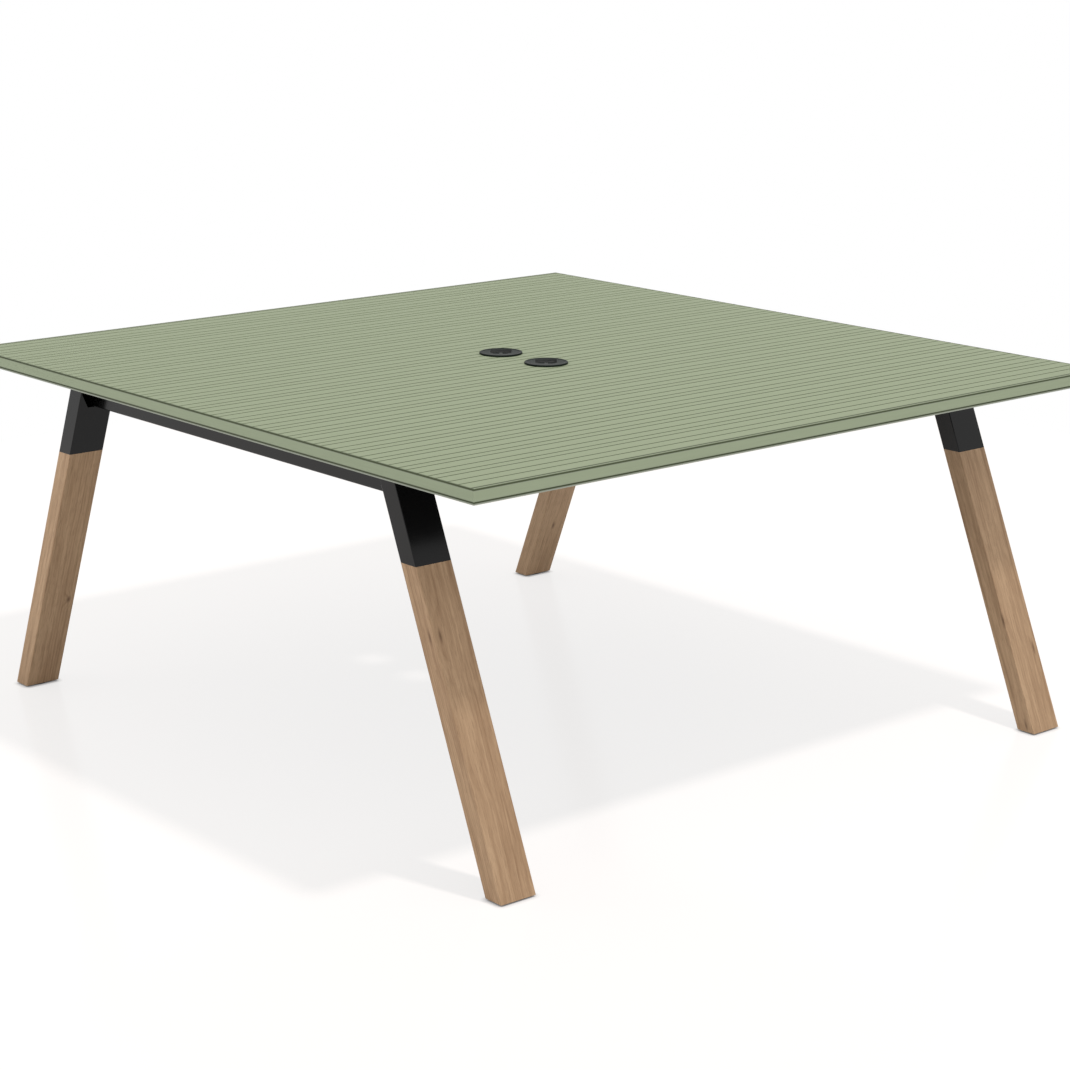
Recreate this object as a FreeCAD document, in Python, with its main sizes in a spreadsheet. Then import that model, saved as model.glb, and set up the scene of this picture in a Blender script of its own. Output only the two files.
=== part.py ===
import FreeCAD, Part
import os
import re
import Sketcher

# Double desk: a grooved top on two welded end frames, with splayed oak legs bolted into steel sockets.
# Frame: origin on the floor under the middle of the top, X along the users' edge, Y in the depth, Z up.
# Millimetres and degrees. Every driving size is a cell of the sheet.
SIZES = {
    # desktop
    "top_width": 1600,
    "top_depth": 1665,
    "desk_height": 736,
    "top_thickness": 26,
    "face_thickness": 1.2,
    "band_thickness": 2,
    "band_arris": 1.5,
    "band_groove_drop": 22,
    "band_groove_width": 3,
    "groove_width": 2.4,
    "groove_depth": 0.8,
    "slat_narrow": 21,
    "slat_middle": 27,
    "slat_wide": 32,
    "groove_start": 12.6,
    # cable ports
    "port_offset": 71.3,
    "port_bore": 80,
    "port_fit": 0.2,
    "flange_diameter": 88,
    "flange_height": 3.6,
    "flange_round": 1.4,
    "rim_fall": 0.8,
    "liner_wall": 2.4,
    "liner_depth": 22,
    "ledge_width": 3.4,
    "ledge_thickness": 2.4,
    "cap_fit": 0.05,
    "cap_thickness": 5.6,
    "cap_plate": 2.2,
    "cap_skirt": 2.4,
    "cap_fall": 1.2,
    "cap_notch_width": 43,
    "cap_notch_reach": 14,
    "cap_notch_corner": 7,
    "cap_notch_heading": 50,
    "thumb_tab_width": 7,
    "thumb_tab_length": 11,
    # legs
    "splay": 22.5,
    "leg_width": 77,
    "leg_depth": 40,
    "leg_round": 1.5,
    "leg_setback": 65,
    "foot_inset": 12,
    "tenon_length": 45,
    "tenon_fit": 0.2,
    "insert_diameter": 12,
    "insert_length": 28,
    "insert_fit": 0.05,
    # leg sockets
    "socket_height": 162.5,
    "socket_wall": 2.5,
    "access_slope_width": 19,
    "access_slope_height": 33,
    "access_fit": 0.2,
    "seat_thickness": 5,
    # end rails and cross beams
    "rail_height": 60,
    "rail_width": 40,
    "rail_wall": 2,
    "rail_round": 3,
    "rail_setback": 32,
    "beam_height": 60,
    "beam_width": 30,
    "beam_wall": 2,
    "beam_round": 3,
    "beam_setback": 184,
    "end_plate_thickness": 5,
    "end_plate_length": 100,
    "end_plate_margin": 2,
    "beam_bolt_spacing": 68,
    # lugs that hold the top
    "lug_length": 40,
    "lug_reach": 32,
    "lug_thickness": 4,
    "lug_setback": 114,
    "lug_insert_diameter": 10,
    "lug_insert_length": 13,
    # bolts
    "bolt_diameter": 8,
    "bolt_head_diameter": 13,
    "bolt_head_height": 8,
    "bolt_length": 32,
    "bolt_spacing": 36,
    "bolt_play": 0.4,
    "thread_fit": 0.08,
    "tip_room": 1,
    "nut_width": 13,
    "nut_height": 6.5,
    "beam_bolt_length": 16,
    "screw_diameter": 6,
    "screw_head_diameter": 12,
    "screw_head_height": 3.6,
    "screw_length": 16,
    # levelling glides
    "pad_diameter": 32,
    "pad_height": 3,
    "pad_bevel": 1,
    "stud_diameter": 8,
    "stud_length": 31,
    "stud_sink": 1.5,
    "glide_shift": 5,
    "foot_insert_diameter": 11,
    "foot_insert_length": 20,
}

# Places worked out from the sizes, as formulas.
UNDERSIDE = "(desk_height - top_thickness)"
PERIOD = "(slat_narrow + slat_middle + slat_wide)"
LEG_X = "(top_width / 2 - leg_setback - leg_width / 2)"
FOOT_Y = "(top_depth / 2 - foot_inset - leg_depth / 2 / cos(splay))"
GLIDE_Y = f"({FOOT_Y} - glide_shift)"
JOINT_HEIGHT = f"({UNDERSIDE} - socket_height)"
TENON_END = f"({JOINT_HEIGHT} / cos(splay) + tenon_length)"
CAVITY_HALF_WIDTH = "(leg_width / 2 - socket_wall)"
CAVITY_HALF_DEPTH = "(leg_depth / 2 - socket_wall)"
RAIL_BOTTOM = f"({UNDERSIDE} - rail_height)"
RAIL_INNER_X = "(top_width / 2 - leg_setback - rail_setback - rail_width)"
RAIL_X = f"({RAIL_INNER_X} + rail_width / 2)"
RAIL_FOOT_Y = "(top_depth / 2 - foot_inset - socket_wall / cos(splay))"
RAIL_LOW_END = f"({RAIL_FOOT_Y} - {RAIL_BOTTOM} * tan(splay))"
RAIL_HIGH_END = f"({RAIL_FOOT_Y} - {UNDERSIDE} * tan(splay))"
BEAM_Y = f"({RAIL_HIGH_END} - beam_setback)"
BEAM_HALF = f"({RAIL_INNER_X} - end_plate_thickness)"
BEAM_BOLT_Z = f"({UNDERSIDE} - rail_height / 2)"
SEAT_RADIUS = "(port_bore / 2 - port_fit - liner_wall)"
CAP_BOTTOM = "(flange_height - rim_fall - cap_thickness)"
LUG_BOTTOM = f"({UNDERSIDE} - lug_thickness)"
RAIL_LUG_X = f"({RAIL_INNER_X} - lug_reach / 2)"
RAIL_LUG_Y = f"({RAIL_HIGH_END} - lug_setback)"
BEAM_LUG_Y = f"({BEAM_Y} - beam_width / 2 - lug_reach / 2)"
FOOT_BORE_TOP = "(stud_sink + stud_length + tip_room)"

SIDES = {"left": -1, "right": 1}
DEPTHS = {"front": -1, "back": 1}

X_AXIS = FreeCAD.Vector(1, 0, 0)
Y_AXIS = FreeCAD.Vector(0, 1, 0)
Z_AXIS = FreeCAD.Vector(0, 0, 1)
WORD = re.compile(r"[a-z_]+")
TOLERANCE = 1e-6

doc = FreeCAD.newDocument("DoubleDesk")
sheet = doc.addObject("Spreadsheet::Sheet", "Sizes")
for row, (name, size) in enumerate(SIZES.items(), start=1):
    sheet.set(f"A{row}", name)
    sheet.set(f"B{row}", str(size))
    sheet.setAlias(f"B{row}", name)
doc.recompute()

nodes = []


def formula(text):
    """The formula with each size's name pointing at its cell."""
    def pointed(word):
        return "Sizes." + word.group() if word.group() in SIZES else word.group()

    return WORD.sub(pointed, text)


def value(text):
    return float(sheet.evalExpression(formula(text)))


def bind(item, field, text):
    item.setExpression(field, formula(text))


def add(kind, name):
    return doc.addObject(kind, name)


def place(item, x="0", y="0", z="0", turn=None):
    """Put an object at a place given by formulas, with an optional rotation."""
    base = FreeCAD.Vector(value(x), value(y), value(z))
    item.Placement = FreeCAD.Placement(base, turn or FreeCAD.Rotation())
    for axis, text in zip("xyz", (x, y, z)):
        bind(item, f"Placement.Base.{axis}", text)
    return item


def node(item, label):
    """Name a finished sub-part. The label is also its file's name."""
    item.Label = label
    nodes.append(item)
    return item


# Sketches and features


def sketch(body, role, lift=None):
    """A sketch on one of the body's own planes, lifted along the plane's normal where a formula says so."""
    plane = next(feature for feature in body.Origin.OriginFeatures if feature.Role == role)
    drawing = body.newObject("Sketcher::SketchObject", "Sketch")
    drawing.AttachmentSupport = (plane, [""])
    drawing.MapMode = "FlatFace"
    if lift:
        bind(drawing, "AttachmentOffset.Base.z", lift)
    return drawing


def fix_point(drawing, curve, end, x, y):
    for kind, text in (("DistanceX", x), ("DistanceY", y)):
        index = drawing.addConstraint(Sketcher.Constraint(kind, -1, 1, curve, end, value(text)))
        bind(drawing, f"Constraints[{index}]", text)


def outline(drawing, corners):
    """A closed outline of straight lines through corners given as pairs of formulas."""
    points = [FreeCAD.Vector(value(x), value(y), 0) for x, y in corners]
    first = drawing.GeometryCount
    for index, point in enumerate(points):
        drawing.addGeometry(Part.LineSegment(point, points[(index + 1) % len(points)]), False)
    for index, (x, y) in enumerate(corners):
        following = first + (index + 1) % len(points)
        drawing.addConstraint(Sketcher.Constraint("Coincident", first + index, 2, following, 1))
        fix_point(drawing, first + index, 1, x, y)
    return drawing


def rectangle(drawing, half_width, half_height):
    """A rectangle about the sketch's origin."""
    quarters = ((-1, -1), (1, -1), (1, 1), (-1, 1))
    return outline(drawing, [(f"{a} * ({half_width})", f"{b} * ({half_height})") for a, b in quarters])


def circle(drawing, x, y, radius):
    centre = FreeCAD.Vector(value(x), value(y), 0)
    curve = drawing.addGeometry(Part.Circle(centre, Z_AXIS, value(radius)), False)
    fix_point(drawing, curve, 3, x, y)
    index = drawing.addConstraint(Sketcher.Constraint("Radius", curve, value(radius)))
    bind(drawing, f"Constraints[{index}]", radius)
    return drawing


def feature(body, kind, drawing, length, both_ways, reverse):
    """A pad or a pocket. With no length it goes through everything."""
    item = body.newObject(f"PartDesign::{kind}", kind)
    item.Profile = drawing
    if both_ways:
        item.SideType = "Symmetric"
    item.Reversed = reverse
    if length is None:
        item.Type = "ThroughAll"
    else:
        bind(item, "Length", length)
    return item


def pad(body, drawing, length, both_ways=False, reverse=False):
    return feature(body, "Pad", drawing, length, both_ways, reverse)


def pocket(body, drawing, length=None, both_ways=False, reverse=False):
    return feature(body, "Pocket", drawing, length, both_ways, reverse)


def revolve(body, drawing):
    item = body.newObject("PartDesign::Revolution", "Revolution")
    item.Profile = drawing
    item.ReferenceAxis = (drawing, ["V_Axis"])
    item.Angle = 360
    return item


def is_along(edge, direction):
    if not isinstance(edge.Curve, Part.Line):
        return False
    return edge.Curve.Direction.cross(direction).Length < TOLERANCE


def is_ring(edge, radius, height):
    if not isinstance(edge.Curve, Part.Circle):
        return False
    same_radius = abs(edge.Curve.Radius - value(radius)) < TOLERANCE
    return same_radius and abs(edge.Curve.Center.z - value(height)) < TOLERANCE


def dress(body, kind, base, field, size, picked):
    """Round or bevel the edges of the base feature that the test picks."""
    doc.recompute()
    names = [f"Edge{index}" for index, edge in enumerate(base.Shape.Edges, start=1) if picked(edge)]
    item = body.newObject(f"PartDesign::{kind}", kind)
    item.Base = (base, names)
    bind(item, field, size)
    return item


def fillet(body, base, radius, picked):
    return dress(body, "Fillet", base, "Radius", radius, picked)


def bevel(body, base, size, picked):
    return dress(body, "Chamfer", base, "Size", size, picked)


def cut(base, tools):
    """The base less its tools, as a chain of boolean cuts."""
    for tool in tools:
        step = add("Part::Cut", "Cut")
        step.Base = base
        step.Tool = tool
        base = step
    return base


def cylinder(radius, height, x="0", y="0", z="0", turn=None):
    item = add("Part::Cylinder", "Cylinder")
    bind(item, "Radius", radius)
    bind(item, "Height", height)
    return place(item, x, y, z, turn)


def group(label, members):
    """Like fasteners as one node of separate solids."""
    item = add("Part::Compound", "Group")
    item.Links = members
    return node(item, label)


# Desktop


def lug_holes():
    """Where the lugs are screwed to the top, as pairs of formulas."""
    for side in SIDES.values():
        for step in (-1, 0, 1):
            yield f"{side} * {RAIL_LUG_X}", f"{step} * {RAIL_LUG_Y}"
    for depth in DEPTHS.values():
        yield "0", f"{depth} * {BEAM_LUG_Y}"


def board_outline(body):
    """The top inside its edge bands, with the two cable ports."""
    drawing = sketch(body, "XY_Plane")
    rectangle(drawing, "top_width / 2 - band_thickness", "top_depth / 2 - band_thickness")
    for depth in DEPTHS.values():
        circle(drawing, "0", f"{depth} * port_offset", "port_bore / 2")
    return drawing


def desktop_core():
    body = add("PartDesign::Body", "Core")
    pad(body, board_outline(body), "top_thickness - face_thickness")
    bores = sketch(body, "XY_Plane")
    for x, y in lug_holes():
        circle(bores, x, y, "lug_insert_diameter / 2 + insert_fit")
    pocket(body, bores, "max(lug_insert_length, screw_length - lug_thickness) + tip_room", reverse=True)
    place(body, z=UNDERSIDE)
    node(body, "desktop_core")


def desktop_face():
    """The decor sheet: grooves along X that part narrow, middle and wide slats in turn."""
    body = add("PartDesign::Body", "Face")
    pad(body, board_outline(body), "face_thickness")
    grooves = sketch(body, "YZ_Plane")
    before = f"floor((top_depth / 2 + groove_start) / {PERIOD})"
    first = f"(groove_start - {PERIOD} * {before})"
    for shift in ("0", "slat_middle", "slat_middle + slat_wide"):
        middle = f"{first} + {shift}"
        outline(grooves, [
            (f"{middle} - groove_width / 2", "face_thickness"),
            (middle, "face_thickness - groove_depth"),
            (f"{middle} + groove_width / 2", "face_thickness"),
        ])
    milled = pocket(body, grooves, both_ways=True)
    rows = body.newObject("PartDesign::LinearPattern", "Rows")
    rows.Originals = [milled]
    rows.Direction = (grooves, ["H_Axis"])
    rows.Mode = "Spacing"
    bind(rows, "Offset", PERIOD)
    bind(rows, "Occurrences", f"{before} + ceil(top_depth / 2 / {PERIOD})")
    body.Tip = rows
    place(body, z="desk_height - face_thickness")
    node(body, "desktop_face")


def edge_band(label, length, x, y, heading):
    """A mitred strip, outer face towards local -Y, with a bevelled upper arris and one groove."""
    body = add("PartDesign::Body", "Band")
    plan = outline(sketch(body, "XY_Plane"), [
        (f"-{length} / 2", "0"),
        (f"{length} / 2", "0"),
        (f"{length} / 2 - band_thickness", "band_thickness"),
        (f"band_thickness - {length} / 2", "band_thickness"),
    ])
    pad(body, plan, "top_thickness")
    profile = sketch(body, "YZ_Plane")
    outline(profile, [
        ("0", "top_thickness"),
        ("0", "top_thickness - band_arris"),
        ("band_arris", "top_thickness"),
    ])
    outline(profile, [
        ("0", "top_thickness - band_groove_drop - band_groove_width / 2"),
        ("groove_depth", "top_thickness - band_groove_drop"),
        ("0", "top_thickness - band_groove_drop + band_groove_width / 2"),
    ])
    pocket(body, profile, both_ways=True)
    place(body, x, y, UNDERSIDE, FreeCAD.Rotation(Z_AXIS, heading))
    node(body, label)


# Cable ports


def grommet_liner(label, depth):
    body = add("PartDesign::Body", "Liner")
    tube = "(port_bore / 2 - port_fit)"
    ledge = f"({SEAT_RADIUS} - ledge_width)"
    rim = "(flange_height - rim_fall)"
    profile = outline(sketch(body, "XZ_Plane"), [
        (tube, "-liner_depth"),
        (tube, "0"),
        ("flange_diameter / 2", "0"),
        ("flange_diameter / 2", "flange_height"),
        ("flange_diameter / 2 - flange_height", "flange_height"),
        (SEAT_RADIUS, rim),
        (SEAT_RADIUS, CAP_BOTTOM),
        (ledge, CAP_BOTTOM),
        (ledge, f"{CAP_BOTTOM} - ledge_thickness"),
        (SEAT_RADIUS, f"{CAP_BOTTOM} - ledge_thickness"),
        (SEAT_RADIUS, "-liner_depth"),
    ])
    ring = revolve(body, profile)
    fillet(body, ring, "flange_round", lambda edge: is_ring(edge, "flange_diameter / 2", "flange_height"))
    place(body, y=f"{depth} * port_offset", z="desk_height")
    node(body, label)


def grommet_cap(label, depth):
    """A moulded cap that turns in the liner: a falling plate with a skirt, a wide notch for cables and a thumb tab."""
    body = add("PartDesign::Body", "Cap")
    edge = f"({SEAT_RADIUS} - cap_fit)"
    rim = "(flange_height - rim_fall)"
    profile = outline(sketch(body, "XZ_Plane"), [
        ("0", f"{rim} - cap_fall - cap_plate"),
        (f"{edge} - cap_skirt", f"{rim} - cap_plate"),
        (f"{edge} - cap_skirt", CAP_BOTTOM),
        (edge, CAP_BOTTOM),
        (edge, rim),
        ("0", f"{rim} - cap_fall"),
    ])
    revolve(body, profile)
    notch = outline(sketch(body, "XY_Plane"), [
        ("-cap_notch_width / 2", "flange_diameter / 2"),
        ("-cap_notch_width / 2", "cap_notch_corner - cap_notch_reach"),
        ("cap_notch_corner - cap_notch_width / 2", "-cap_notch_reach"),
        ("-thumb_tab_width / 2", "-cap_notch_reach"),
        ("-thumb_tab_width / 2", "thumb_tab_length - cap_notch_reach"),
        ("thumb_tab_width / 2", "thumb_tab_length - cap_notch_reach"),
        ("thumb_tab_width / 2", "-cap_notch_reach"),
        ("cap_notch_width / 2 - cap_notch_corner", "-cap_notch_reach"),
        ("cap_notch_width / 2", "cap_notch_corner - cap_notch_reach"),
        ("cap_notch_width / 2", "flange_diameter / 2"),
    ])
    pocket(body, notch, both_ways=True)
    turn = "cap_notch_heading - 90"
    place(body, "0", f"{depth} * port_offset", "desk_height", FreeCAD.Rotation(Z_AXIS, value(turn)))
    bind(body, "Placement.Rotation.Angle", turn)
    node(body, label)


# Legs and sockets. Each is drawn in the leg's own frame: origin on the floor, Z up along the leg's middle
# line and Y towards the inner side.


def leg_turn(depth):
    return FreeCAD.Rotation(Z_AXIS, 90 + 90 * depth) * FreeCAD.Rotation(X_AXIS, -value("splay"))


def set_leg(item, side, depth):
    """Stand a piece that is drawn in the leg's frame at its corner of the desk."""
    return place(item, f"{side} * {LEG_X}", f"{depth} * {FOOT_Y}", "0", leg_turn(depth))


def level(height, depth):
    """Where the leg's frame meets a level height, at a distance from the leg's middle line."""
    return f"({height}) / cos(splay) + ({depth}) * tan(splay)"


def sloped_outline(drawing, half_depth, low, high):
    """The leg's side view between two level heights."""
    return outline(drawing, [
        (f"-({half_depth})", level(low, f"-({half_depth})")),
        (half_depth, level(low, half_depth)),
        (half_depth, level(high, half_depth)),
        (f"-({half_depth})", level(high, f"-({half_depth})")),
    ])


def oak_leg(label, side, depth):
    body = add("PartDesign::Body", "Leg")
    shaft_side = sloped_outline(sketch(body, "YZ_Plane"), "leg_depth / 2", "pad_height", JOINT_HEIGHT)
    shaft = pad(body, shaft_side, "leg_width", both_ways=True)
    fillet(body, shaft, "leg_round", lambda edge: is_along(edge, Z_AXIS))
    tenon_half = f"({CAVITY_HALF_DEPTH} - tenon_fit)"
    tenon_side = outline(sketch(body, "YZ_Plane"), [
        (f"-{tenon_half}", f"{TENON_END} - 2 * tenon_length"),
        (tenon_half, f"{TENON_END} - 2 * tenon_length"),
        (tenon_half, TENON_END),
        (f"-{tenon_half}", TENON_END),
    ])
    pad(body, tenon_side, f"2 * ({CAVITY_HALF_WIDTH} - tenon_fit)", both_ways=True)
    bores = sketch(body, "XY_Plane", TENON_END)
    for way in (-1, 1):
        circle(bores, f"{way} * bolt_spacing / 2", "0", "insert_diameter / 2 + insert_fit")
    pocket(body, bores, "max(insert_length, bolt_length - seat_thickness) + tip_room")
    set_leg(body, side, depth)
    foot_bore = cylinder(
        "foot_insert_diameter / 2 + insert_fit", FOOT_BORE_TOP, f"{side} * {LEG_X}", f"{depth} * {GLIDE_Y}")
    node(cut(body, [foot_bore]), label)


def leg_socket(label, side, depth):
    """A folded steel box, flush with the oak, whose inner wall is cut away where the rail and a key go in."""
    body = add("PartDesign::Body", "Socket")
    shell_side = sloped_outline(sketch(body, "YZ_Plane"), "leg_depth / 2", JOINT_HEIGHT, UNDERSIDE)
    shell = pad(body, shell_side, "leg_width", both_ways=True)
    fillet(body, shell, "leg_round", lambda edge: is_along(edge, Z_AXIS))
    cavity_side = sloped_outline(
        sketch(body, "YZ_Plane"), CAVITY_HALF_DEPTH,
        f"{JOINT_HEIGHT} - leg_depth", f"{UNDERSIDE} + leg_depth")
    pocket(body, cavity_side, f"2 * {CAVITY_HALF_WIDTH}", both_ways=True)
    outer = -side * depth
    low = f"({level(RAIL_BOTTOM, CAVITY_HALF_DEPTH)} - access_fit)"
    top = level(f"{UNDERSIDE} + leg_depth", "0")
    access = outline(sketch(body, "XZ_Plane"), [
        (f"{outer} * {CAVITY_HALF_WIDTH}", top),
        (f"{outer} * {CAVITY_HALF_WIDTH}", f"{low} + access_slope_height"),
        (f"{outer} * ({CAVITY_HALF_WIDTH} - access_slope_width)", low),
        (f"{-outer} * {CAVITY_HALF_WIDTH}", low),
        (f"{-outer} * {CAVITY_HALF_WIDTH}", top),
    ])
    pocket(body, access, "leg_depth")
    set_leg(body, side, depth)
    node(body, label)


def socket_seat(label, side, depth):
    """The plate welded inside the socket, on which the leg's tenon is pulled up."""
    body = add("PartDesign::Body", "Seat")
    plan = sketch(body, "XY_Plane", TENON_END)
    rectangle(plan, CAVITY_HALF_WIDTH, CAVITY_HALF_DEPTH)
    for way in (-1, 1):
        circle(plan, f"{way} * bolt_spacing / 2", "0", "bolt_diameter / 2 + bolt_play")
    pad(body, plan, "seat_thickness")
    set_leg(body, side, depth)
    node(body, label)


# Fasteners


def ring_piece(name, radius, bore, low, high, x, y):
    """A plain sleeve about local Z, drawn in the frame of the leg or of the desk."""
    body = add("PartDesign::Body", name)
    plan = sketch(body, "XY_Plane", low)
    circle(plan, x, y, radius)
    circle(plan, x, y, bore)
    pad(body, plan, f"{high} - ({low})")
    return body


def headed_piece(name, x, y, seat, head_radius, head_height, radius, length, head_up):
    """A bolt about local Z whose head sits on the seat height, above or below it."""
    body = add("PartDesign::Body", name)
    pad(body, circle(sketch(body, "XY_Plane", seat), x, y, head_radius), head_height, reverse=not head_up)
    pad(body, circle(sketch(body, "XY_Plane", seat), x, y, radius), length, reverse=head_up)
    return body


def leg_fasteners():
    bolts = []
    inserts = []
    for depth in DEPTHS.values():
        for side in SIDES.values():
            for way in (-1, 1):
                x = f"{way} * bolt_spacing / 2"
                bolt = headed_piece(
                    "LegBolt", x, "0", f"{TENON_END} + seat_thickness", "bolt_head_diameter / 2",
                    "bolt_head_height", "bolt_diameter / 2", "bolt_length", True)
                bolts.append(set_leg(bolt, side, depth))
                insert = ring_piece(
                    "LegInsert", "insert_diameter / 2", "bolt_diameter / 2 + thread_fit",
                    f"{TENON_END} - insert_length", TENON_END, x, "0")
                inserts.append(set_leg(insert, side, depth))
    group("leg_bolts", bolts)
    group("leg_inserts", inserts)


def top_fasteners():
    screws = []
    inserts = []
    for x, y in lug_holes():
        screws.append(headed_piece(
            "LugScrew", x, y, LUG_BOTTOM, "screw_head_diameter / 2", "screw_head_height",
            "screw_diameter / 2", "screw_length", False))
        inserts.append(ring_piece(
            "TopInsert", "lug_insert_diameter / 2", "screw_diameter / 2 + thread_fit",
            UNDERSIDE, f"{UNDERSIDE} + lug_insert_length", x, y))
    group("lug_screws", screws)
    group("top_inserts", inserts)


def beam_bolt_places():
    """The beams' bolts as side, and Y as a formula."""
    for side in SIDES.values():
        for depth in DEPTHS.values():
            for way in (-1, 1):
                yield side, f"{depth} * {BEAM_Y} + {way} * beam_bolt_spacing / 2"


def beam_fasteners():
    """Bolts through the end plates into nuts welded inside the rails, both drawn about local Z."""
    bolts = []
    nuts = []
    for side, y in beam_bolt_places():
        outwards = FreeCAD.Rotation(Y_AXIS, 90 * side)
        bolt = headed_piece(
            "BeamBolt", "0", "0", "0", "bolt_head_diameter / 2", "bolt_head_height",
            "bolt_diameter / 2", "beam_bolt_length", False)
        bolts.append(place(bolt, f"{side} * {BEAM_HALF}", y, BEAM_BOLT_Z, outwards))
        hexagon = add("Part::Prism", "Hexagon")
        hexagon.Polygon = 6
        bind(hexagon, "Circumradius", "nut_width / 2 / cos(30)")
        bind(hexagon, "Height", "nut_height")
        nut_x = f"{side} * ({RAIL_INNER_X} + rail_wall)"
        place(hexagon, nut_x, y, BEAM_BOLT_Z, outwards)
        thread = cylinder("bolt_diameter / 2 + thread_fit", "nut_height", nut_x, y, BEAM_BOLT_Z, outwards)
        nuts.append(cut(hexagon, [thread]))
    group("beam_bolts", bolts)
    group("beam_nuts", nuts)


# End rails, cross beams and lugs


def end_rail(label, side):
    """A steel tube in the depth, its ends cut to the sockets' outer walls."""
    body = add("PartDesign::Body", "Rail")
    side_view = outline(sketch(body, "YZ_Plane"), [
        (f"-{RAIL_LOW_END}", "0"),
        (RAIL_LOW_END, "0"),
        (RAIL_HIGH_END, "rail_height"),
        (f"-{RAIL_HIGH_END}", "rail_height"),
    ])
    bar = pad(body, side_view, "rail_width", both_ways=True)
    fillet(body, bar, "rail_round", lambda edge: is_along(edge, Y_AXIS))
    bore = outline(sketch(body, "XZ_Plane"), [
        ("rail_wall - rail_width / 2", "rail_wall"),
        ("rail_width / 2 - rail_wall", "rail_wall"),
        ("rail_width / 2 - rail_wall", "rail_height - rail_wall"),
        ("rail_wall - rail_width / 2", "rail_height - rail_wall"),
    ])
    pocket(body, bore, both_ways=True)
    bolt_holes = sketch(body, "YZ_Plane")
    for bolt_side, y in beam_bolt_places():
        if bolt_side == side:
            circle(bolt_holes, y, "rail_height / 2", "bolt_diameter / 2 + bolt_play")
    pocket(body, bolt_holes, "rail_width", reverse=side < 0)
    place(body, f"{side} * {RAIL_X}", "0", RAIL_BOTTOM)
    node(body, label)


def cross_beam(label, depth):
    body = add("PartDesign::Body", "Beam")
    section = sketch(body, "YZ_Plane")
    rectangle(section, "beam_width / 2", "beam_height / 2")
    bar = pad(body, section, f"2 * {BEAM_HALF}", both_ways=True)
    fillet(body, bar, "beam_round", lambda edge: is_along(edge, X_AXIS))
    bore = rectangle(sketch(body, "YZ_Plane"), "beam_width / 2 - beam_wall", "beam_height / 2 - beam_wall")
    pocket(body, bore, both_ways=True)
    place(body, "0", f"{depth} * {BEAM_Y}", f"{UNDERSIDE} - beam_height / 2")
    node(body, label)


def beam_end_plate(label, side, depth):
    body = add("PartDesign::Body", "EndPlate")
    face = sketch(body, "YZ_Plane")
    rectangle(face, "end_plate_length / 2", "rail_height / 2 - end_plate_margin")
    for way in (-1, 1):
        circle(face, f"{way} * beam_bolt_spacing / 2", "0", "bolt_diameter / 2 + bolt_play")
    pad(body, face, "end_plate_thickness", reverse=side < 0)
    place(body, f"{side} * {BEAM_HALF}", f"{depth} * {BEAM_Y}", BEAM_BOLT_Z)
    node(body, label)


def lug(label, half_x, half_y, x, y):
    body = add("PartDesign::Body", "Lug")
    plan = rectangle(sketch(body, "XY_Plane"), half_x, half_y)
    circle(plan, "0", "0", "screw_diameter / 2 + bolt_play")
    pad(body, plan, "lug_thickness")
    place(body, x, y, LUG_BOTTOM)
    node(body, label)


def lugs():
    rows = {"front": -1, "middle": 0, "back": 1}
    for side_name, side in SIDES.items():
        for row_name, step in rows.items():
            lug(f"rail_lug_{row_name}_{side_name}", "lug_reach / 2", "lug_length / 2",
                f"{side} * {RAIL_LUG_X}", f"{step} * {RAIL_LUG_Y}")
    for depth_name, depth in DEPTHS.items():
        lug(f"beam_lug_{depth_name}", "lug_length / 2", "lug_reach / 2", "0", f"{depth} * {BEAM_LUG_Y}")


# Levelling glides


def leveller_pad(label, side, depth):
    body = add("PartDesign::Body", "Pad")
    disc = pad(body, circle(sketch(body, "XY_Plane"), "0", "0", "pad_diameter / 2"), "pad_height")
    bevel(body, disc, "pad_bevel", lambda edge: is_ring(edge, "pad_diameter / 2", "0"))
    hole = circle(sketch(body, "XY_Plane", "pad_height"), "0", "0", "stud_diameter / 2")
    pocket(body, hole, "pad_height - stud_sink")
    place(body, f"{side} * {LEG_X}", f"{depth} * {GLIDE_Y}")
    node(body, label)


def leveller_stud(label, side, depth):
    body = add("PartDesign::Body", "Stud")
    pad(body, circle(sketch(body, "XY_Plane"), "0", "0", "stud_diameter / 2"), "stud_length")
    place(body, f"{side} * {LEG_X}", f"{depth} * {GLIDE_Y}", "stud_sink")
    node(body, label)


def foot_insert(side, depth):
    body = ring_piece(
        "FootInsert", "foot_insert_diameter / 2", "stud_diameter / 2 + thread_fit",
        "pad_height", "pad_height + foot_insert_length", "0", "0")
    return place(body, f"{side} * {LEG_X}", f"{depth} * {GLIDE_Y}")


# Assembly

desktop_core()
desktop_face()
edge_band("edge_band_front", "top_width", "0", "-top_depth / 2", 0)
edge_band("edge_band_back", "top_width", "0", "top_depth / 2", 180)
edge_band("edge_band_left", "top_depth", "-top_width / 2", "0", -90)
edge_band("edge_band_right", "top_depth", "top_width / 2", "0", 90)
foot_inserts = []
for depth_name, depth in DEPTHS.items():
    grommet_liner(f"grommet_liner_{depth_name}", depth)
    grommet_cap(f"grommet_cap_{depth_name}", depth)
    cross_beam(f"cross_beam_{depth_name}", depth)
    for side_name, side in SIDES.items():
        corner = f"{depth_name}_{side_name}"
        oak_leg(f"leg_{corner}", side, depth)
        leg_socket(f"leg_socket_{corner}", side, depth)
        socket_seat(f"socket_seat_{corner}", side, depth)
        beam_end_plate(f"beam_end_plate_{corner}", side, depth)
        leveller_pad(f"leveller_pad_{corner}", side, depth)
        leveller_stud(f"leveller_stud_{corner}", side, depth)
        foot_inserts.append(foot_insert(side, depth))
for side_name, side in SIDES.items():
    end_rail(f"end_rail_{side_name}", side)
lugs()
leg_fasteners()
top_fasteners()
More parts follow.
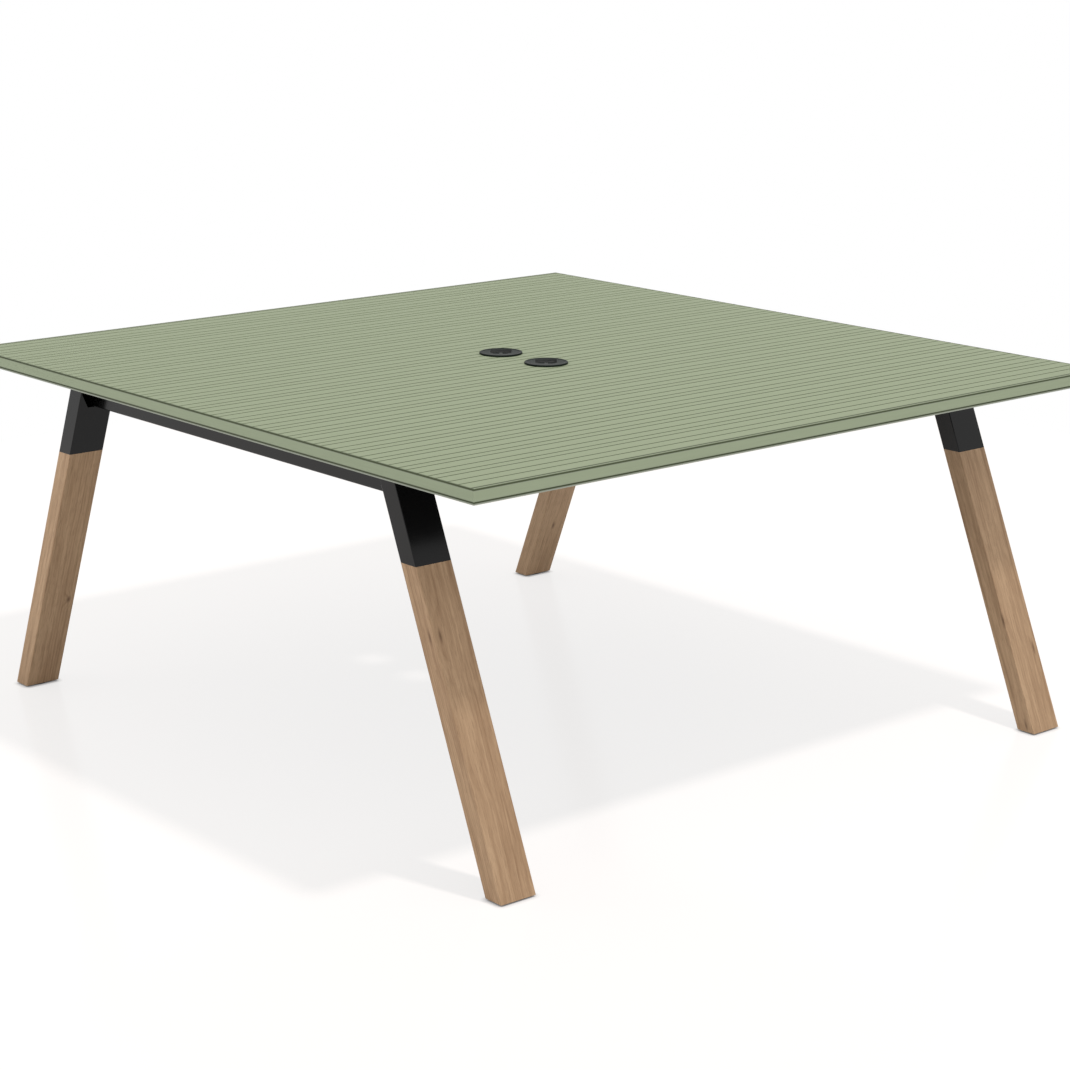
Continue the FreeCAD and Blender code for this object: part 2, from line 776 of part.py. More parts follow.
beam_fasteners()
group("foot_inserts", foot_inserts)
doc.recompute()

# Nothing is written unless every object is sound.
for item in doc.Objects:
    if "Invalid" in item.State or "Error" in item.State:
        raise RuntimeError(f"{item.Name} ({item.Label}) failed: {item.State}")
for item in nodes:
    if item.Shape.isNull() or not item.Shape.isValid() or not item.Shape.Solids:
        raise RuntimeError(f"{item.Label} has no sound shape")

os.makedirs("parts", exist_ok=True)
for item in nodes:
    item.Shape.exportStep(f"parts/{item.Label}.step")
print(f"{len(nodes)} nodes, {sum(len(item.Shape.Solids) for item in nodes)} solids")
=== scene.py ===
import math

import bmesh
import bpy
from bpy.props import FloatProperty, FloatVectorProperty, IntProperty, PointerProperty
from mathutils import Matrix, Vector


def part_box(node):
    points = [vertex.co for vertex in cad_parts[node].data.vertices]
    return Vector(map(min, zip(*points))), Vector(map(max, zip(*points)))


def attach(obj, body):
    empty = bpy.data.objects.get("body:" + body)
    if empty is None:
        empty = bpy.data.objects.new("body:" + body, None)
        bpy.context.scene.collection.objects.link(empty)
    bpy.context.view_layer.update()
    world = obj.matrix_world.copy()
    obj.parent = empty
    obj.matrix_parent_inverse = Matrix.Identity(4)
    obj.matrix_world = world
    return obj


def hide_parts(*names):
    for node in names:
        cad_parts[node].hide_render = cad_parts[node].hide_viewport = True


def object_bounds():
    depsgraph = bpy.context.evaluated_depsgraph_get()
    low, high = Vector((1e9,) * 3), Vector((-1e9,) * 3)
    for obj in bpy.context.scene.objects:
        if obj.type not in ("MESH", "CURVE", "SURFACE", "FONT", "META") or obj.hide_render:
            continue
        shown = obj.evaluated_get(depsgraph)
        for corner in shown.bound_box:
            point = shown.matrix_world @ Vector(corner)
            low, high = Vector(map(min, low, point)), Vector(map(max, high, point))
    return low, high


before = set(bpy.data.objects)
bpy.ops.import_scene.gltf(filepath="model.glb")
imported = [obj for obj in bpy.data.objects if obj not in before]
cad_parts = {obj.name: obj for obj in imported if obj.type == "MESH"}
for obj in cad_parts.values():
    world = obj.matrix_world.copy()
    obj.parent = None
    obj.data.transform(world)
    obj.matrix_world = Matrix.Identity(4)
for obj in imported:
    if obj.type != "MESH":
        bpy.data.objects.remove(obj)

bl_info = {
    "name": "Double Desk",
    "version": (1, 0, 0),
    "blender": (4, 5, 0),
    "location": "3D View > Sidebar > Double Desk",
    "description": "Finishes, fasteners, welds and a studio for a double desk with splayed oak legs",
    "category": "Object",
}

CAD_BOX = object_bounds()
MM = 0.001
SIDES = {"left": -1, "right": 1}
DEPTHS = {"front": -1, "back": 1}
CORNERS = [f"{depth}_{side}" for depth in DEPTHS for side in SIDES]
LUG_ROWS = ("front", "middle", "back")
RAIL_LUGS = [f"rail_lug_{row}_{side}" for row in LUG_ROWS for side in SIDES]
BEAM_LUGS = [f"beam_lug_{depth}" for depth in DEPTHS]
FRAME_BODY = "frame"

# Knots in the oak, as millimetres across, through and up the leg from the middle of its glide, then their
# reach across and along the grain.
KNOTS = {
    "front_left": ((-24, -25, 459, 5, 22), (-38, -14, 461, 5, 22), (12, 15, 180, 6, 14)),
    "front_right": ((-38, -22, 230, 5, 22), (26, -25, 161, 5, 22), (-38, -10, 13, 5, 20)),
    "back_left": ((25, -15, 225, 8, 13), (-30, 24, 410, 7, 15)),
    "back_right": ((2, -15, 152, 7, 16), (38, 8, 330, 6, 14)),
}
# The middle of each leg's tree, as millimetres across and through the leg from the middle of its glide.
PITHS = {
    "front_left": (-58, 66),
    "front_right": (70, 52),
    "back_left": (64, -58),
    "back_right": (-66, -62),
}
# How much paler than the plain grain each leg's board is, as a share of the grain's contrast. Less than 0 is
# darker. This is partly each board's own tone and partly painted light: the values also even out how lit each
# leg looks, and lift the back right leg, deep in the top's shade, most.
PALENESS_AND_PAINTED_LIGHT = {"front_left": -0.05, "front_right": 0.03, "back_left": 0.11, "back_right": 0.31}
# Streaks of the oak's fibres, each as millimetres across and along the grain, then their weight in its tone,
# and the weight of its rings.
FIBRES = ((22, 300, 0.75), (7, 130, 0.75), (2.6, 70, 0.4))
RING_WEIGHT = 0.3
# The share of a year's ring over which its dark early wood fades.
EARLY_SHARE = 0.6
# How far the rings bend out at a knot, and how far from it they do.
KNOT_SWELL = 8 * MM
KNOT_SWELL_REACH = 20 * MM

# Streaks of the decor in each metre: about 110 mm long and 3 mm wide.
STREAKS_ALONG = 9
STREAKS_ACROSS = 330
BACKING_THICKNESS = 0.3 * MM
# Height of the finest grain on any surface.
FINE_RELIEF = 0.1 * MM
# Width of the clouds in a coated or moulded surface, in grains.
CLOUD_GRAINS = 35

# Depth of a thread as a share of its pitch.
THREAD_DEPTH = 0.6
# Bevel of a screw's head as a share of its radius, and height of its socket's floor as a share of the head's.
HEAD_BEVEL = 0.06
SOCKET_FLOOR = 0.45
# Bulge of a weld bead along each plate as a share of its leg, and the size of each second ripple.
BEAD_BULGE = 0.62
BEAD_RIPPLE = 0.84
# Edges sharper than this stay crisp.
CRISP_ANGLE = math.radians(35)


def linear(shade):
    """An sRGB hex value as linear red, green and blue."""
    parts = [int(shade[start:start + 2], 16) / 255 for start in (1, 3, 5)]
    return tuple(part / 12.92 if part <= 0.04045 else ((part + 0.055) / 1.055) ** 2.4 for part in parts)


def colour(name, description, shade):
    return FloatVectorProperty(
        name=name, description=description, subtype="COLOR", size=3, min=0, max=1, default=linear(shade))


def length(name, description, millimetres):
    return FloatProperty(
        name=name, description=description, subtype="DISTANCE", unit="LENGTH", precision=4,
        default=millimetres * MM)


def angle(name, description, degrees):
    return FloatProperty(
        name=name, description=description, subtype="ANGLE", unit="ROTATION", default=math.radians(degrees))


def factor(name, description, part):
    return FloatProperty(name=name, description=description, subtype="FACTOR", default=part, min=0, max=1)


def power(name, description, watts):
    return FloatProperty(name=name, description=description, unit="POWER", default=watts)


def position(name, description, metres):
    return FloatVectorProperty(name=name, description=description, subtype="TRANSLATION", default=metres)


class DecorSettings(bpy.types.PropertyGroup):
    """Laminate of the top and of its edges"""
    slat_light: colour("Slat, light", "Lighter tone of the sage slats", "#9BA586")
    slat_dark: colour("Slat, dark", "Darker tone of the sage slats", "#929C7D")
    band_light: colour("Band, light", "Lighter tone of the edge bands", "#A0AA8E")
    band_dark: colour("Band, dark", "Darker tone of the edge bands", "#97A185")
    groove: colour("Groove", "Dark line in each groove and along the upper arris", "#3D4629")
    low_strip: colour("Low strip", "Strip below the groove of the edge", "#A3A799")
    # Painted shade: the backing is dark so that it stands in for the shade under the top, as the black coat
    # reflects it.
    shade_dark_backing: colour("Backing", "Plain sheet under the top", "#2E2F2F")
    chip_light: colour("Chip, light", "Lighter wood chips of the core", "#C3A67C")
    chip_dark: colour("Chip, dark", "Darker wood chips of the core", "#8A6B45")
    slat_narrow: length("Narrow slat", "Width of the narrow slat", 21)
    slat_middle: length("Middle slat", "Width of the middle slat", 27)
    slat_wide: length("Wide slat", "Width of the wide slat", 32)
    groove_start: length("Groove start", "Distance of one groove from the middle of the desk", 12.6)
    line_width: length("Line width", "Width of the dark line along a groove", 3)
    arris: length("Arris", "Height of the dark upper edge", 2.5)
    edge_line: length("Edge line", "Height of the dark line along the edge's groove", 3.6)
    rim: length("Rim", "Width of the dark line along the rim of the top", 4)
    border: length("Border", "How far in from the front and back rims the last dark line runs", 9.8)
    border_share: factor("Border share", "How dark the last line is", 0.95)
    edge_groove: length("Edge groove", "Depth of the edge's groove below the top", 21.8)


class OakSettings(bpy.types.PropertyGroup):
    """Oiled oak of the legs"""
    light: colour("Light wood", "Late wood between the rings", "#C4A27F")
    dark: colour("Dark wood", "Early wood of the rings", "#9D7B5B")
    pore: colour("Pores", "Open pores", "#8A6B4E")
    knot: colour("Knots", "Pin knots", "#6E5138")
    ring_spacing: length("Ring spacing", "Width of one year's ring", 5)
    sway: length("Sway", "How far the rings wander along the leg", 9)
    curl: length("Curl", "How far the fibres wave from side to side", 14)
    splay: angle("Splay", "Lean of the legs", 22.5)


class SteelSettings(bpy.types.PropertyGroup):
    """Coated and plated steel"""
    coat_dark: colour("Coat, dark", "Deep tone of the powder coat", "#060606")
    coat_light: colour("Coat, light", "High tone of the powder coat", "#0A0A0A")
    zinc_light: colour("Zinc, light", "Bright tone of the plating", "#D3D5D8")
    zinc_dark: colour("Zinc, dark", "Dull tone of the plating", "#AEB0B2")
    bead_leg: length("Weld leg", "Leg length of a weld bead", 3)
    bead_pitch: length("Weld ripple", "Distance between the ripples of a weld", 2.2)


class PlasticSettings(bpy.types.PropertyGroup):
    """Moulded plastics"""
    port_dark: colour("Port, dark", "Deep tone of the cable ports", "#1C221D")
    port_light: colour("Port, light", "High tone of the cable ports", "#232924")
    # Painted light: the tone and radius below paint the inside of each port's sleeve paler, standing in for
    # the light caught in its hollow.
    painted_light_tone: colour("Scuff", "Tone inside the cable ports, where cables rub", "#545554")
    sleeve_radius: length("Sleeve radius", "Distance from a port's middle within which cables rub", 37.5)
    glide_dark: colour("Glide, dark", "Deep tone of the glides", "#171716")
    glide_light: colour("Glide, light", "High tone of the glides", "#242322")


class FastenerSettings(bpy.types.PropertyGroup):
    """Bolts, screws and threads"""
    corners: IntProperty(name="Corners", description="Sides of a round head", default=48, min=12)
    bolt_diameter: length("Bolt", "Diameter of the bolts and of the levelling studs", 8)
    bolt_pitch: length("Bolt pitch", "Distance between the bolts' threads", 1.25)
    bolt_head: length("Bolt head", "Diameter of the bolts' heads", 13)
    bolt_head_height: length("Bolt head height", "Height of the bolts' heads", 8)
    bolt_key: length("Bolt key", "Width of the key in the bolts' heads", 6)
    leg_bolt_length: length("Leg bolt", "Length of the legs' bolts", 32)
    leg_bolt_spacing: length("Leg bolt spacing", "Distance between the two bolts of a leg", 36)
    beam_bolt_length: length("Beam bolt", "Length of the beams' bolts", 16)
    beam_bolt_spacing: length("Beam bolt spacing", "Distance between the two bolts of an end plate", 68)
    screw_diameter: length("Screw", "Diameter of the lugs' screws", 6)
    screw_pitch: length("Screw pitch", "Distance between the screws' threads", 1)
    screw_head: length("Screw head", "Diameter of the screws' heads", 12)
    screw_head_height: length("Screw head height", "Height of the screws' heads", 3.6)
    screw_key: length("Screw key", "Width of the key in the screws' heads", 4)
    screw_length: length("Screw length", "Length of the lugs' screws", 16)


class StageSettings(bpy.types.PropertyGroup):
    """Floor, light and camera"""
    floor: colour("Floor", "Pale studio floor", "#CDCDCD")
    floor_seen: colour("Floor, seen", "Slightly warm tone of the floor's shade as it is seen", "#D8CDC6")
    floor_reach: length("Floor reach", "Half of the floor's width", 3000)
    floor_glow: factor("Floor glow", "Plain white in the floor as it is seen", 0.758)
    floor_shade: factor("Floor shade", "Share of the real light in the floor as it is seen", 0.292)
    floor_gloss: factor("Floor gloss", "Share of reflections in the floor as it is seen", 0.042)
    contact: length("Contact", "How far from a foot the floor's glow fades", 12)
    dome: factor("Dome", "Strength of the light from all around", 0.764)
    key_power: power("Key", "Power of the key lamp", 132)
    key_size: length("Key size", "Width of the key lamp", 550)
    key_place: position("Key place", "Where the key lamp hangs", (0.4, -2.92, 6.42))
    shadow_power: power("Shadow", "Power of the lamp at the key's place that lights the floor alone", 223)
    fill_power: power("Fill", "Power of the fill lamp", 9)
    fill_size: length("Fill size", "Width of the fill lamp", 1600)
    fill_place: position("Fill place", "Where the fill lamp stands", (-3.4, 2.2, 0.9))
    camera_place: position("Camera place", "Where the camera stands", (-3.351, -4.006, 1.704))
    camera_heading: angle("Camera heading", "Turn of the view from +X towards +Y", 49.828)
    camera_dip: angle("Camera dip", "How far the view points below the horizon", 14.362)
    camera_lens: FloatProperty(
        name="Lens", description="Focal length on a 36 mm sensor, in millimetres", default=88.1)


class DeskSettings(bpy.types.PropertyGroup):
    """Everything that can be set on the desk"""
    decor: PointerProperty(type=DecorSettings)
    oak: PointerProperty(type=OakSettings)
    steel: PointerProperty(type=SteelSettings)
    plastic: PointerProperty(type=PlasticSettings)
    fastener: PointerProperty(type=FastenerSettings)
    stage: PointerProperty(type=StageSettings)


# Materials


def add_node(tree, kind, inputs=None, **settings):
    """Add a node with its settings. An input takes a plain value or a link from another node's socket."""
    item = tree.nodes.new(kind)
    for field, setting in settings.items():
        setattr(item, field, setting)
    for name, source in (inputs or {}).items():
        socket = item.inputs[name]
        if isinstance(source, bpy.types.NodeSocket):
            tree.links.new(source, socket)
        elif socket.type == "RGBA":
            socket.default_value = (*source, 1)
        else:
            socket.default_value = source
    return item


def new_material(name):
    """An empty material, its node tree and its object coordinates."""
    material = bpy.data.materials.new(name)
    material.use_nodes = True
    tree = material.node_tree
    tree.nodes.clear()
    place = add_node(tree, "ShaderNodeTexCoord").outputs["Object"]
    return material, tree, place


def cover(tree, shader):
    """Make a principled shader of these inputs the material's surface."""
    surface = add_node(tree, "ShaderNodeBsdfPrincipled", shader)
    add_node(tree, "ShaderNodeOutputMaterial", {"Surface": surface.outputs["BSDF"]})


def striped_laminate(decor):
    """High-pressure laminate, pressed matt and milled: even sage slats, each groove a fine dark line."""
    material, tree, place = new_material("striped_laminate")
    sides = add_node(tree, "ShaderNodeSeparateXYZ", {0: place})
    across = sides.outputs["Y"]
    period = decor.slat_narrow + decor.slat_middle + decor.slat_wide
    nearest = period
    for shift in (0, decor.slat_middle, decor.slat_middle + decor.slat_wide):
        moved = add_node(tree, "ShaderNodeMath", {
            0: across, 1: decor.groove_start + shift}, operation="SUBTRACT")
        away = add_node(tree, "ShaderNodeMath", {0: moved.outputs[0], 1: period / 2}, operation="PINGPONG")
        least = add_node(tree, "ShaderNodeMath", {0: away.outputs[0], 1: nearest}, operation="MINIMUM")
        nearest = least.outputs[0]
    line = add_node(tree, "ShaderNodeMapRange", {
        "Value": nearest, "From Min": 0.35 * decor.line_width, "From Max": 0.65 * decor.line_width,
        "To Min": 1, "To Max": 0}, interpolation_type="SMOOTHSTEP")
    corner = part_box("desktop_face")[1]
    depth = add_node(tree, "ShaderNodeMath", {0: across}, operation="ABSOLUTE").outputs[0]
    # The last line runs between the last groove, which is clean, and the rim.
    inner = add_node(tree, "ShaderNodeMath", {
        0: depth, 1: corner.y - decor.border - decor.slat_narrow}, operation="LESS_THAN")
    dark = add_node(tree, "ShaderNodeMath", {
        0: line.outputs["Result"], 1: inner.outputs[0]}, operation="MULTIPLY").outputs[0]
    inward = add_node(tree, "ShaderNodeMath", {0: depth, 1: corner.y - decor.border}, operation="SUBTRACT")
    beside = add_node(tree, "ShaderNodeMath", {0: inward.outputs[0]}, operation="ABSOLUTE")
    last = add_node(tree, "ShaderNodeMapRange", {
        "Value": beside.outputs[0], "From Min": 0.7 * decor.line_width, "From Max": 1.1 * decor.line_width,
        "To Min": decor.border_share, "To Max": 0})
    dark = add_node(tree, "ShaderNodeMath", {0: dark, 1: last.outputs[0]}, operation="MAXIMUM").outputs[0]
    for axis, reach in (("X", corner.x), ("Y", corner.y)):
        out = add_node(tree, "ShaderNodeMath", {0: sides.outputs[axis]}, operation="ABSOLUTE")
        rim = add_node(tree, "ShaderNodeMapRange", {
            "Value": out.outputs[0], "From Min": reach - 1.2 * decor.rim,
            "From Max": reach - 0.3 * decor.rim})
        dark = add_node(tree, "ShaderNodeMath", {0: dark, 1: rim.outputs[0]}, operation="MAXIMUM").outputs[0]
    stretch = (STREAKS_ALONG, STREAKS_ACROSS, STREAKS_ACROSS)
    laminate(decor.slat_dark, decor.slat_light, tree, place, stretch, dark, decor.groove)
    return material


def edge_laminate(decor):
    """The same laminate as an edge band: dark arris, plain sage face, one dark groove and a greyer strip."""
    material, tree, place = new_material("edge_laminate")
    height = add_node(tree, "ShaderNodeSeparateXYZ", {0: place}).outputs["Z"]
    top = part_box("edge_band_front")[1].z
    blur = 0.3 * decor.edge_line
    groove = top - decor.edge_groove
    arris = add_node(tree, "ShaderNodeMapRange", {
        "Value": height, "From Min": top - decor.arris - blur, "From Max": top - decor.arris + blur})
    apart = add_node(tree, "ShaderNodeMath", {0: height, 1: groove}, operation="SUBTRACT")
    away = add_node(tree, "ShaderNodeMath", {0: apart.outputs[0]}, operation="ABSOLUTE")
    line = add_node(tree, "ShaderNodeMapRange", {
        "Value": away.outputs[0], "From Min": decor.edge_line / 2 - blur,
        "From Max": decor.edge_line / 2 + blur, "To Min": 1, "To Max": 0})
    dark = add_node(tree, "ShaderNodeMath", {
        0: arris.outputs["Result"], 1: line.outputs["Result"]}, operation="MAXIMUM")
    low = add_node(tree, "ShaderNodeMath", {0: height, 1: groove}, operation="LESS_THAN")
    shade = add_node(tree, "ShaderNodeMix", {
        0: dark.outputs[0], 6: decor.low_strip, 7: decor.groove}, data_type="RGBA")
    share = add_node(tree, "ShaderNodeMath", {0: dark.outputs[0], 1: low.outputs[0]}, operation="MAXIMUM")
    stretch = (STREAKS_ALONG, STREAKS_ALONG, STREAKS_ACROSS)
    laminate(decor.band_dark, decor.band_light, tree, place, stretch, share.outputs[0], shade.outputs[2])
    return material


def laminate(dark, light, tree, place, stretch, share, shade):
    """Matt sage decor with faint streaks and a fine pressed grain, partly covered by another shade."""
    drawn = add_node(tree, "ShaderNodeVectorMath", {0: place, 1: stretch}, operation="MULTIPLY")
    streak = add_node(tree, "ShaderNodeTexNoise", {"Vector": drawn.outputs[0], "Scale": 1, "Detail": 3})
    slat = add_node(tree, "ShaderNodeMix", {
        0: streak.outputs["Fac"], 6: dark, 7: light}, data_type="RGBA")
    base = add_node(tree, "ShaderNodeMix", {0: share, 6: slat.outputs[2], 7: shade}, data_type="RGBA")
    # The real grain is about 0.2 mm wide, drawn at 1 mm so that it shows.
    grain = add_node(tree, "ShaderNodeTexNoise", {"Vector": place, "Scale": 1 / (1 * MM), "Detail": 1})
    bump = add_node(tree, "ShaderNodeBump", {
        "Height": grain.outputs["Fac"], "Strength": 0.05, "Distance": FINE_RELIEF})
    cover(tree, {
        "Base Color": base.outputs[2], "Roughness": 0.6, "Specular IOR Level": 0.25,
        "Normal": bump.outputs[0]})


def backed_board(decor):
    """Particle board: pressed wood chips inside, a dark grey balancing sheet with a pearl grain below, whose
    dark grey is painted shade that stands in for the shade under the top.
    """
    material, tree, place = new_material("backed_board")
    height = add_node(tree, "ShaderNodeSeparateXYZ", {0: place}).outputs["Z"]
    sheet_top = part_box("desktop_core")[0].z + BACKING_THICKNESS
    inside = add_node(tree, "ShaderNodeMath", {0: height, 1: sheet_top}, operation="GREATER_THAN")
    chips = add_node(tree, "ShaderNodeTexVoronoi", {"Vector": place, "Scale": 1 / (3 * MM)})
    pick = add_node(tree, "ShaderNodeSeparateColor", {0: chips.outputs["Color"]})
    chip = add_node(tree, "ShaderNodeMix", {
        0: pick.outputs[0], 6: decor.chip_dark, 7: decor.chip_light}, data_type="RGBA")
    pearl = add_node(tree, "ShaderNodeTexNoise", {"Vector": place, "Scale": 1 / (1.5 * MM), "Detail": 2})
    cloud = add_node(tree, "ShaderNodeTexNoise", {"Vector": place, "Scale": 1 / (220 * MM), "Detail": 3})
    # The backing's dark grey is painted shade; the clouds vary its tone.
    tint = [0.82 * part for part in decor.shade_dark_backing]
    sheet = add_node(tree, "ShaderNodeMix", {
        0: cloud.outputs["Fac"], 6: tint, 7: decor.shade_dark_backing}, data_type="RGBA")
    base = add_node(tree, "ShaderNodeMix", {
        0: inside.outputs[0], 6: sheet.outputs[2], 7: chip.outputs[2]}, data_type="RGBA")
    bump = add_node(tree, "ShaderNodeBump", {
        "Height": pearl.outputs["Fac"], "Strength": 0.15, "Distance": FINE_RELIEF})
    cover(tree, {
        "Base Color": base.outputs[2], "Roughness": 0.6, "Specular IOR Level": 0.3,
        "Normal": bump.outputs[0]})
    return material


def oiled_oak(oak, corner):
    """Planed and oiled oak, sawn along the grain: soft year rings, short open pores and a few pin knots."""
    material, tree, place = new_material(f"oiled_oak_{corner}")
    depth = DEPTHS[corner.split("_")[0]]
    low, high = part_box(f"leveller_pad_{corner}")
    turn = Matrix.Rotation(-depth * oak.splay, 3, "X")
    glide = Vector(((low.x + high.x) / 2, (low.y + high.y) / 2, 0))
    wood = add_node(tree, "ShaderNodeMapping", {
        "Vector": place, "Location": -(turn @ glide), "Rotation": (-depth * oak.splay, 0, 0)}).outputs[0]

    # Knots: a dark core each, round which the rings swell.
    mask = 0
    swell = 0
    for *spot, reach, stretch in KNOTS[corner]:
        centre = [size * MM for size in spot]
        apart = add_node(tree, "ShaderNodeVectorMath", {0: wood, 1: centre}, operation="SUBTRACT")
        flat = add_node(tree, "ShaderNodeVectorMath", {
            0: apart.outputs[0], 1: (1, 1, reach / stretch)}, operation="MULTIPLY")
        away = add_node(tree, "ShaderNodeVectorMath", {
            0: flat.outputs[0]}, operation="LENGTH").outputs["Value"]
        core = add_node(tree, "ShaderNodeMapRange", {
            "Value": away, "From Min": 0, "From Max": reach * MM, "To Min": 0.85, "To Max": 0},
            interpolation_type="SMOOTHSTEP")
        push = add_node(tree, "ShaderNodeMapRange", {
            "Value": away, "From Min": 0, "From Max": KNOT_SWELL_REACH, "To Min": KNOT_SWELL, "To Max": 0},
            interpolation_type="SMOOTHSTEP")
        mask = add_node(tree, "ShaderNodeMath", {0: core.outputs[0], 1: mask}, operation="MAXIMUM").outputs[0]
        swell = add_node(tree, "ShaderNodeMath", {0: push.outputs[0], 1: swell}, operation="ADD").outputs[0]

    # Rings about the pith, which wander every 140 mm or so across the leg and every 500 mm along it.
    slow = add_node(tree, "ShaderNodeVectorMath", {0: wood, 1: (7, 7, 2)}, operation="MULTIPLY")
    sway = add_node(tree, "ShaderNodeTexNoise", {"Vector": slow.outputs[0], "Scale": 1, "Detail": 2})
    wander = add_node(tree, "ShaderNodeMath", {
        0: sway.outputs["Fac"], 1: 2 * oak.sway, 2: swell}, operation="MULTIPLY_ADD")
    pith = [size * MM for size in PITHS[corner]] + [0]
    apart = add_node(tree, "ShaderNodeVectorMath", {0: wood, 1: pith}, operation="SUBTRACT")
    level = add_node(tree, "ShaderNodeVectorMath", {0: apart.outputs[0], 1: (1, 1, 0)}, operation="MULTIPLY")
    radius = add_node(tree, "ShaderNodeVectorMath", {0: level.outputs[0]}, operation="LENGTH")
    years = add_node(tree, "ShaderNodeMath", {
        0: radius.outputs["Value"], 1: wander.outputs[0]}, operation="ADD")
    count = add_node(tree, "ShaderNodeMath", {
        0: years.outputs[0], 1: oak.ring_spacing}, operation="DIVIDE").outputs[0]
    within = add_node(tree, "ShaderNodeMath", {0: count}, operation="FRACT")
    year = add_node(tree, "ShaderNodeMath", {0: count}, operation="FLOOR")
    early = add_node(tree, "ShaderNodeMapRange", {
        "Value": within.outputs[0], "From Min": 0, "From Max": EARLY_SHARE, "To Min": 1, "To Max": 0},
        interpolation_type="SMOOTHSTEP")
    good = add_node(tree, "ShaderNodeTexWhiteNoise", {"W": year.outputs[0]}, noise_dimensions="1D")
    ring = add_node(tree, "ShaderNodeMath", {
        0: early.outputs[0], 1: good.outputs["Value"]}, operation="MULTIPLY")

    # Fibres that wave from side to side, laid over the rings.
    drawn = add_node(tree, "ShaderNodeMath", {
        0: ring.outputs[0], 1: RING_WEIGHT}, operation="MULTIPLY").outputs[0]
    drift = add_node(tree, "ShaderNodeVectorMath", {
        0: wood, 1: (1 / (60 * MM), 1 / (60 * MM), 1 / (110 * MM))}, operation="MULTIPLY")
    curl = add_node(tree, "ShaderNodeTexNoise", {"Vector": drift.outputs[0], "Scale": 1, "Detail": 1})
    waved = add_node(tree, "ShaderNodeVectorMath", {
        0: curl.outputs["Color"], 1: (oak.curl, oak.curl, 0), 2: wood}, operation="MULTIPLY_ADD").outputs[0]
    for across, along, weight in FIBRES:
        fibre = (1 / (across * MM), 1 / (across * MM), 1 / (along * MM))
        long = add_node(tree, "ShaderNodeVectorMath", {0: waved, 1: fibre}, operation="MULTIPLY")
        band = add_node(tree, "ShaderNodeTexNoise", {"Vector": long.outputs[0], "Scale": 1, "Detail": 2})
        drawn = add_node(tree, "ShaderNodeMath", {
            0: band.outputs["Fac"], 1: weight, 2: drawn}, operation="MULTIPLY_ADD").outputs[0]
    # Real pores are about 0.3 mm wide, drawn at 1 mm so that they show.
    short = add_node(tree, "ShaderNodeVectorMath", {
        0: wood, 1: (1 / (1 * MM), 1 / (1 * MM), 1 / (20 * MM))}, operation="MULTIPLY")
    vessel = add_node(tree, "ShaderNodeTexNoise", {"Vector": short.outputs[0], "Scale": 1, "Detail": 1})
    pore = add_node(tree, "ShaderNodeMapRange", {
        "Value": vessel.outputs["Fac"], "From Min": 0.56, "From Max": 0.7, "To Min": 0, "To Max": 0.5})
    # Rings and fibres add up to between about 0.72 and 1.32.
    # Painted light in part: each leg's paleness shifts its whole tone, to even out how lit the legs look.
    tone = add_node(tree, "ShaderNodeMapRange", {
        "Value": drawn, "From Min": 0.72, "From Max": 1.32, "To Min": -PALENESS_AND_PAINTED_LIGHT[corner],
        "To Max": 1 - PALENESS_AND_PAINTED_LIGHT[corner]})
    plank = add_node(tree, "ShaderNodeMix", {0: tone.outputs[0], 6: oak.light, 7: oak.dark}, data_type="RGBA")
    open_wood = add_node(tree, "ShaderNodeMix", {
        0: pore.outputs[0], 6: plank.outputs[2], 7: oak.pore}, data_type="RGBA")
    base = add_node(tree, "ShaderNodeMix", {0: mask, 6: open_wood.outputs[2], 7: oak.knot}, data_type="RGBA")
    rough = add_node(tree, "ShaderNodeMapRange", {"Value": drawn, "To Min": 0.46, "To Max": 0.56})
    bump = add_node(tree, "ShaderNodeBump", {
        "Height": pore.outputs[0], "Strength": 0.2, "Distance": 0.2 * MM}, invert=True)
    cover(tree, {
        "Base Color": base.outputs[2], "Roughness": rough.outputs[0], "Specular IOR Level": 0.35,
        "Normal": bump.outputs[0]})
    return material


def fine_grained(name, dark, light, grain, shader, roughness, relief):
    """A coated or moulded surface: two near tones in soft clouds, and a fine grain that breaks the gloss."""
    material, tree, place = new_material(name)
    cloud = add_node(tree, "ShaderNodeTexNoise", {
        "Vector": place, "Scale": 1 / (CLOUD_GRAINS * grain), "Detail": 3})
    base = add_node(tree, "ShaderNodeMix", {0: cloud.outputs["Fac"], 6: dark, 7: light}, data_type="RGBA")
    rough = add_node(tree, "ShaderNodeMapRange", {
        "Value": cloud.outputs["Fac"], "To Min": roughness[0], "To Max": roughness[1]})
    peel = add_node(tree, "ShaderNodeTexNoise", {"Vector": place, "Scale": 1 / grain, "Detail": 2})
    bump = add_node(tree, "ShaderNodeBump", {
        "Height": peel.outputs["Fac"], "Strength": relief, "Distance": FINE_RELIEF})
    cover(tree, {
        "Base Color": base.outputs[2], "Roughness": rough.outputs[0], "Normal": bump.outputs[0], **shader})
    return material


def powder_coat(steel):
    """Black polyester powder, sprayed and baked: a deep satin black with a slight orange peel."""
    return fine_grained(
        "black_powder_coat", steel.coat_dark, steel.coat_light, grain=1.6 * MM,
        shader={"Specular IOR Level": 0.25}, roughness=(0.15, 0.19), relief=0.04)


def moulded_abs(plastic, name="moulded_abs"):
    """Black ABS, injection moulded in a spark-eroded tool: an even satin grain."""
    return fine_grained(
        name, plastic.port_dark, plastic.port_light, grain=0.8 * MM,
        shader={"Specular IOR Level": 0.0145}, roughness=(0.3, 0.36), relief=0.1)


